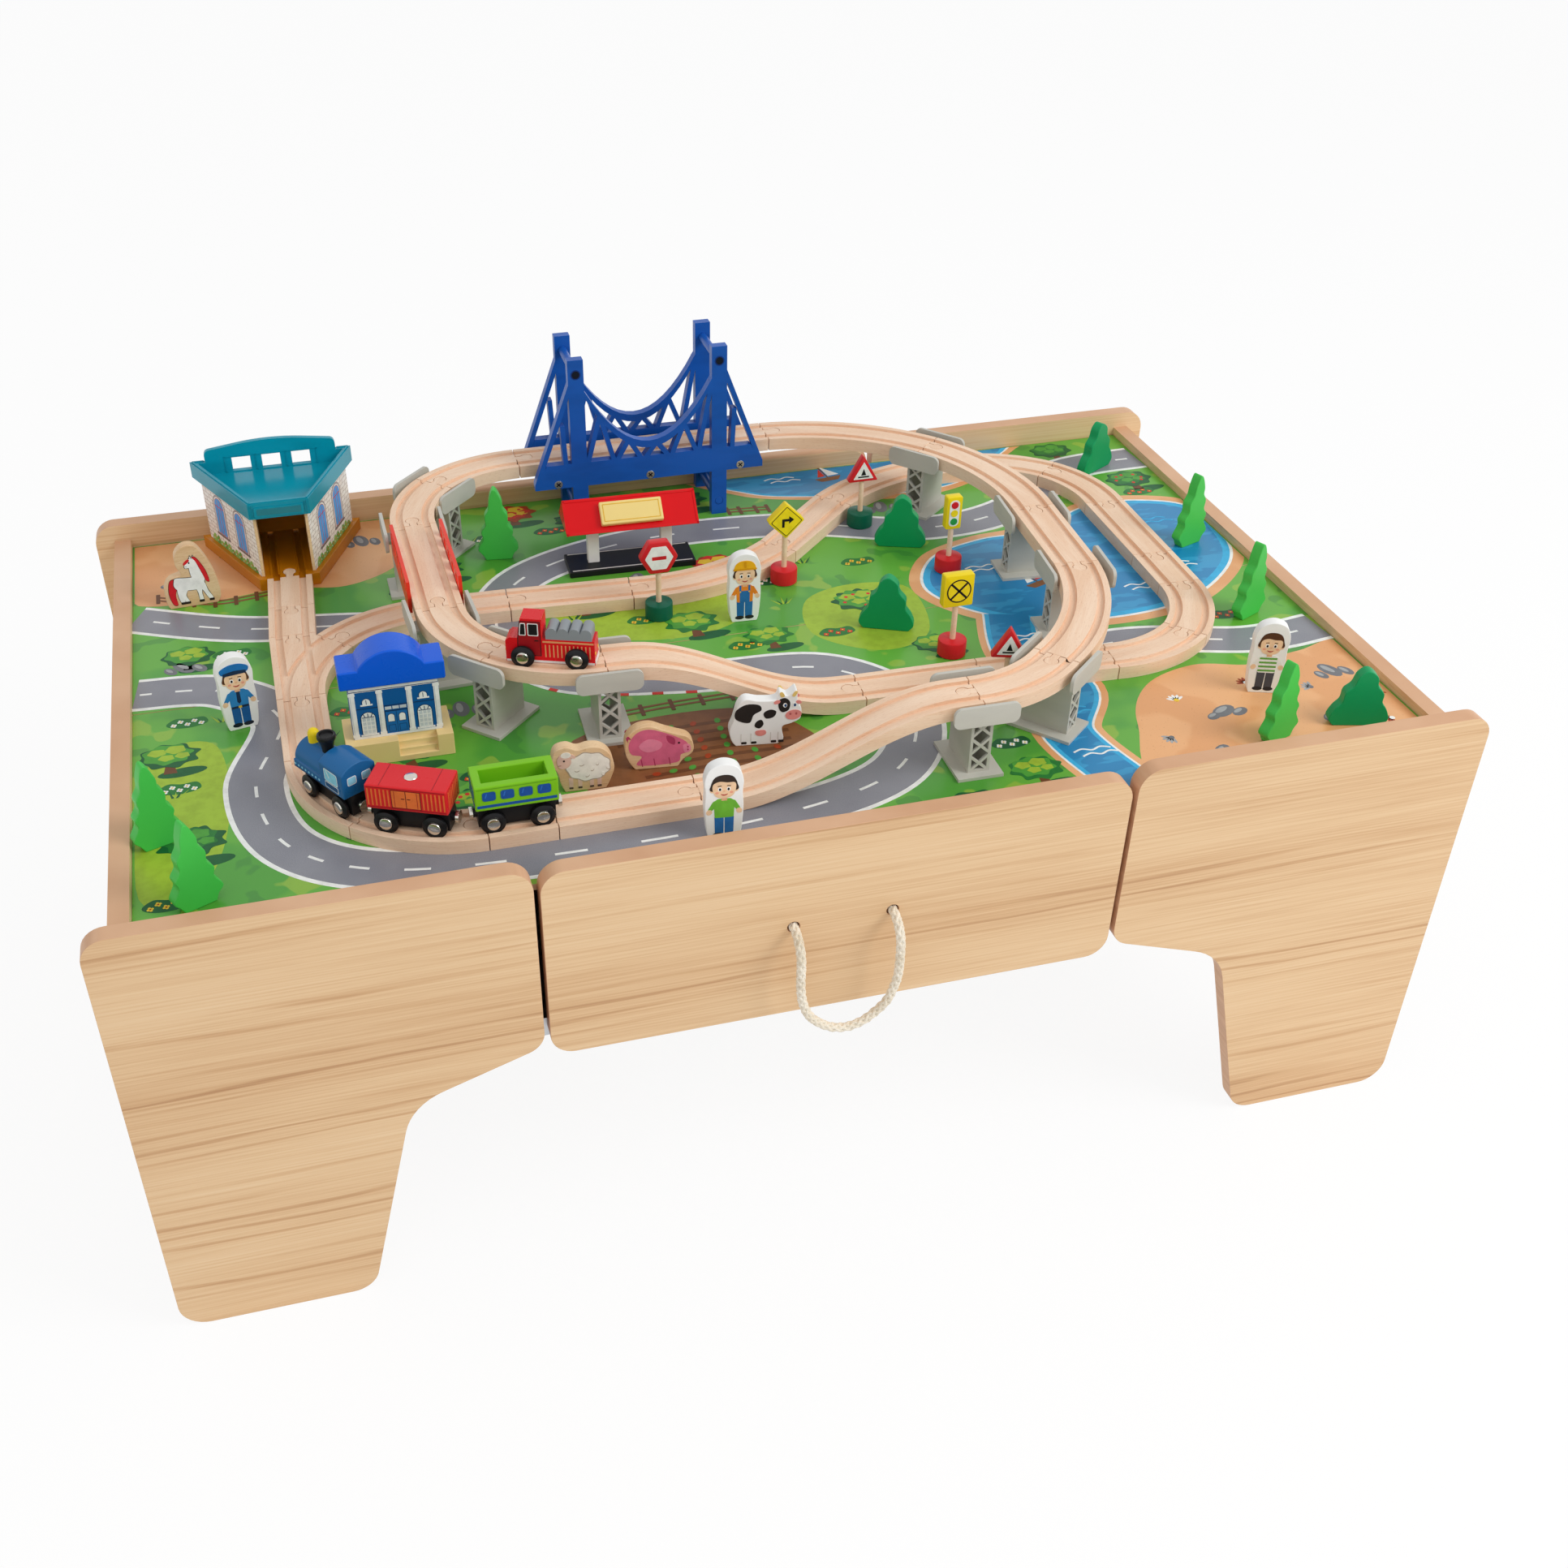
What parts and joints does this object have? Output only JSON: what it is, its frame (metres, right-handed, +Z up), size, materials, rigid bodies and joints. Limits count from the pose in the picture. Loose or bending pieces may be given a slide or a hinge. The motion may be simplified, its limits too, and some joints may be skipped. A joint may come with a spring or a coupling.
{
  "type": "wooden train table",
  "caption": "Low wooden play table with a rope-pull drawer, carrying a two-level wooden railway with bridge, sheds, signs and rolling trains.",
  "frame": {"origin": "on the floor under the middle of the table", "axes": "+Z up, X along the length, drawer side towards -Y"},
  "size_m": [1.09, 0.6659, 0.553],
  "materials": {
    "oak_panel": "pale oak grain, satin",
    "raw_wood": "plain sanded wood",
    "white_board": "white foil",
    "printed_board": "printed, satin",
    "steel": "bright zinc",
    "rope": "twisted cotton",
    "beech": "sanded beech",
    "grey_plastic": "moulded, satin",
    "red_plastic": "moulded, glossy",
    "blue_plastic": "moulded, satin",
    "amber_plastic": "tinted, glossy",
    "brick_print": "printed brick",
    "teal_plastic": "tinted, glossy",
    "black_paint": "black paint, satin",
    "black_wheels": "moulded, glossy",
    "white_paint": "white paint, satin",
    "red_paint": "red paint, satin",
    "cream_paint": "cream paint, satin",
    "house_blue": "blue paint, satin",
    "roof_blue": "moulded, glossy",
    "engine_blue": "blue paint, satin",
    "lime_paint": "lime paint, satin",
    "grey_paint": "grey paint, satin",
    "sign_paint": "painted wood",
    "green_paint": "green paint, satin"
  },
  "bodies": {
    "table": {"front_left_leg_panel": "oak_panel", "front_right_leg_panel": "oak_panel", "back_left_leg_panel": "oak_panel", "back_right_leg_panel": "oak_panel", "back_centre_panel": "oak_panel", "left_side_rail": "oak_panel", "right_side_rail": "oak_panel", "play_board_front": "printed_board", "play_board_back": "printed_board", "board_cleats": "raw_wood", "drawer_bearers": "raw_wood", "drawer_runners": "raw_wood", "cam_fittings": "steel", "ground_tracks": "beech", "switch_track": "beech", "ramp_tracks": "beech", "raised_tracks": "beech", "track_piers": "grey_plastic", "guard_rails": "red_plastic", "bridge_front_frame": "blue_plastic", "bridge_rear_frame": "blue_plastic", "bridge_cross_rods": "blue_plastic", "bridge_screws": "steel", "shed_base": "amber_plastic", "shed_walls": "brick_print", "shed_roof": "teal_plastic", "station_base": "black_paint", "station_posts": "white_paint", "station_roof": "red_paint", "station_sign": "cream_paint", "house_base": "cream_paint", "house_body": "house_blue", "house_roof": "roof_blue", "road_signs": "sign_paint", "trees": "green_paint", "wooden_figures": "white_paint"},
    "drawer": {"drawer_front": "oak_panel", "drawer_left_side": "white_board", "drawer_right_side": "white_board", "drawer_back": "white_board", "drawer_bottom": "white_board", "rope_handle": "rope", "handle_knots": "rope"},
    "engine": {"engine_body": "engine_blue", "engine_chassis": "black_paint", "engine_funnel_and_dome": "black_paint"},
    "engine_front_axle": {"engine_front_axle": "black_wheels"},
    "engine_rear_axle": {"engine_rear_axle": "black_wheels"},
    "red_wagon": {"red_wagon_body": "red_paint", "red_wagon_chassis": "black_paint"},
    "red_wagon_front_axle": {"red_wagon_front_axle": "black_wheels"},
    "red_wagon_rear_axle": {"red_wagon_rear_axle": "black_wheels"},
    "green_wagon": {"green_wagon_body": "lime_paint", "green_wagon_chassis": "black_paint"},
    "green_wagon_front_axle": {"green_wagon_front_axle": "black_wheels"},
    "green_wagon_rear_axle": {"green_wagon_rear_axle": "black_wheels"},
    "truck": {"truck_body": "red_paint", "truck_load": "grey_paint"},
    "truck_front_axle": {"truck_front_axle": "black_wheels"},
    "truck_rear_axle": {"truck_rear_axle": "black_wheels"}
  },
  "joints": [
    {"name": "drawer_slide", "type": "slide", "parent": "table", "child": "drawer", "axis": [0, -1, 0], "range_m": [0, 0.3]},
    {"name": "engine_lift", "type": "slide", "parent": "table", "child": "engine", "axis": [0, 0, 1], "range_m": [0, 0.15]},
    {"name": "engine_front_wheels", "type": "hinge", "parent": "engine", "child": "engine_front_axle", "pos_m": [-0.36862, -0.16107, 0.3998], "axis": [-0.8647, -0.5022, 0], "continuous": true},
    {"name": "engine_rear_wheels", "type": "hinge", "parent": "engine", "child": "engine_rear_axle", "pos_m": [-0.34904, -0.1948, 0.3998], "axis": [-0.8647, -0.5022, 0], "continuous": true},
    {"name": "red_wagon_lift", "type": "slide", "parent": "table", "child": "red_wagon", "axis": [0, 0, 1], "range_m": [0, 0.15]},
    {"name": "red_wagon_front_wheels", "type": "hinge", "parent": "red_wagon", "child": "red_wagon_front_axle", "pos_m": [-0.32333, -0.21797, 0.3998], "axis": [-0.4179, -0.9085, 0], "continuous": true},
    {"name": "red_wagon_rear_wheels", "type": "hinge", "parent": "red_wagon", "child": "red_wagon_rear_axle", "pos_m": [-0.28971, -0.23344, 0.3998], "axis": [-0.4179, -0.9085, 0], "continuous": true},
    {"name": "green_wagon_lift", "type": "slide", "parent": "table", "child": "green_wagon", "axis": [0, 0, 1], "range_m": [0, 0.15]},
    {"name": "green_wagon_front_wheels", "type": "hinge", "parent": "green_wagon", "child": "green_wagon_front_axle", "pos_m": [-0.2523, -0.2379, 0.3998], "axis": [0, -1, 0], "continuous": true},
    {"name": "green_wagon_rear_wheels", "type": "hinge", "parent": "green_wagon", "child": "green_wagon_rear_axle", "pos_m": [-0.2153, -0.2379, 0.3998], "axis": [0, -1, 0], "continuous": true},
    {"name": "truck_lift", "type": "slide", "parent": "table", "child": "truck", "axis": [0, 0, 1], "range_m": [0, 0.15]},
    {"name": "truck_front_wheels", "type": "hinge", "parent": "truck", "child": "truck_front_axle", "pos_m": [-0.19858, -0.10052, 0.4538], "axis": [-0.358, -0.9337, 0], "continuous": true},
    {"name": "truck_rear_wheels", "type": "hinge", "parent": "truck", "child": "truck_rear_axle", "pos_m": [-0.15843, -0.11591, 0.4538], "axis": [-0.358, -0.9337, 0], "continuous": true}
  ]
}
